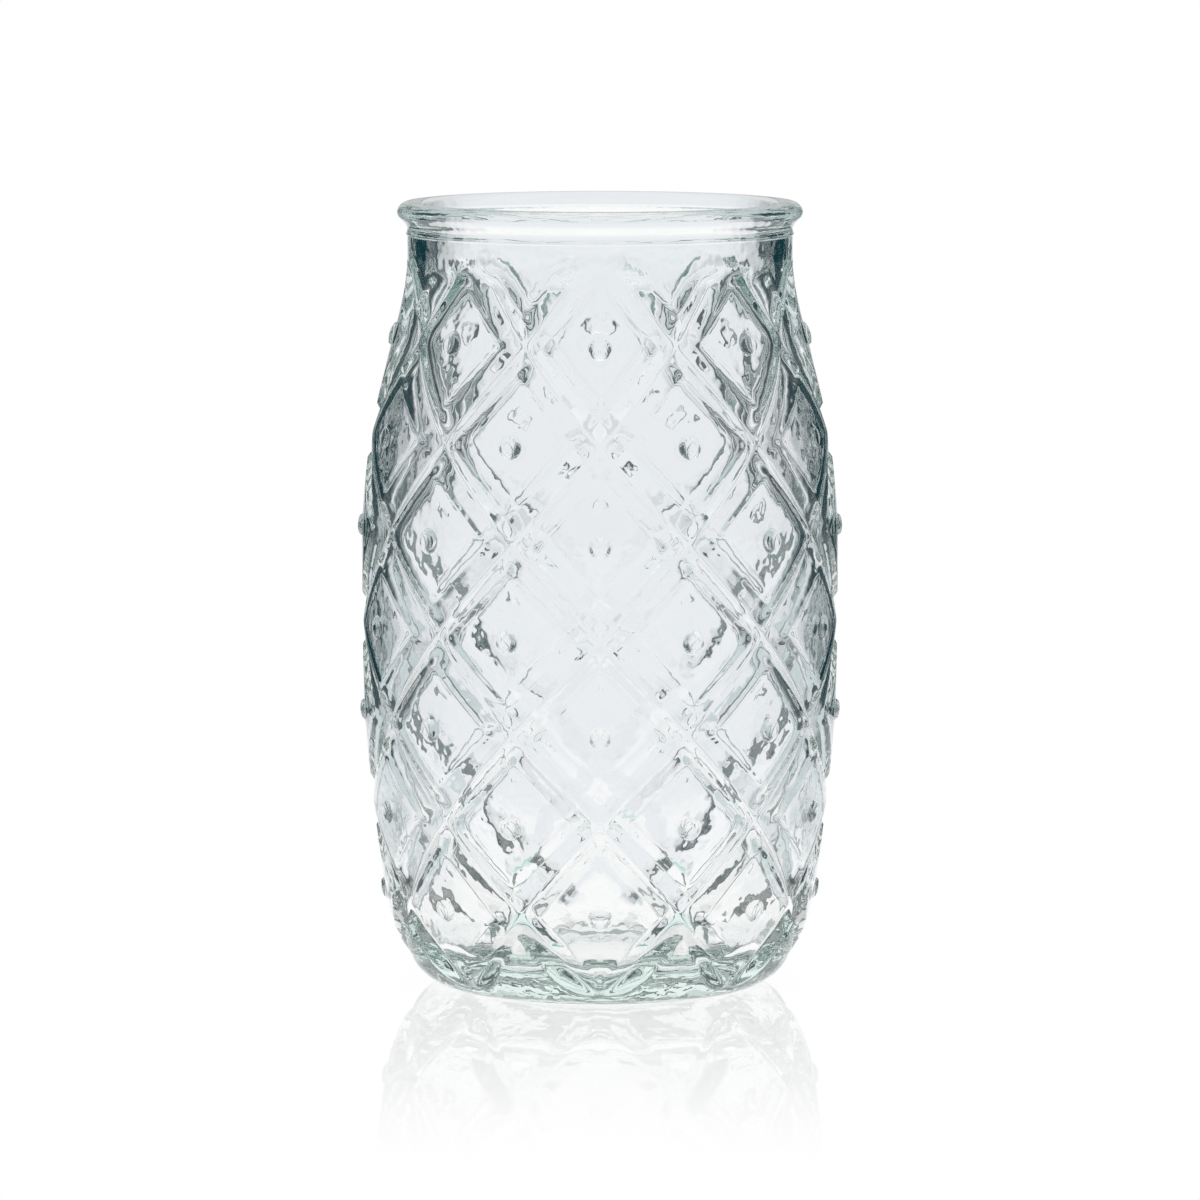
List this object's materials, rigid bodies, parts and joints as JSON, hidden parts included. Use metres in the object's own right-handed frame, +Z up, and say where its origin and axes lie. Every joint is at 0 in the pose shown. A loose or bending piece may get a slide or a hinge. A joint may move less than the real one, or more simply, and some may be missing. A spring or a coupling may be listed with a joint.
{
  "type": "pineapple tumbler",
  "caption": "Clear moulded-glass barrel tumbler with a rolled lip, a plain neck and a lattice of raised diamond panels with a nub in each, for cold drinks.",
  "frame": {"origin": "centre of the bearing ring under the base, on the surface that the glass stands on", "axes": "+Z up along the glass's axis; -Y is the front, where a column of crossings faces the viewer"},
  "size_m": [0.0866, 0.0866, 0.14],
  "materials": {
    "clear_glass": "clear, fire-polished, faint green-grey cast"
  },
  "bodies": {
    "root": {"lip": "clear_glass", "neck": "clear_glass", "shoulder": "clear_glass", "upper_body": "clear_glass", "lower_body": "clear_glass", "heel": "clear_glass", "base": "clear_glass"}
  },
  "joints": []
}
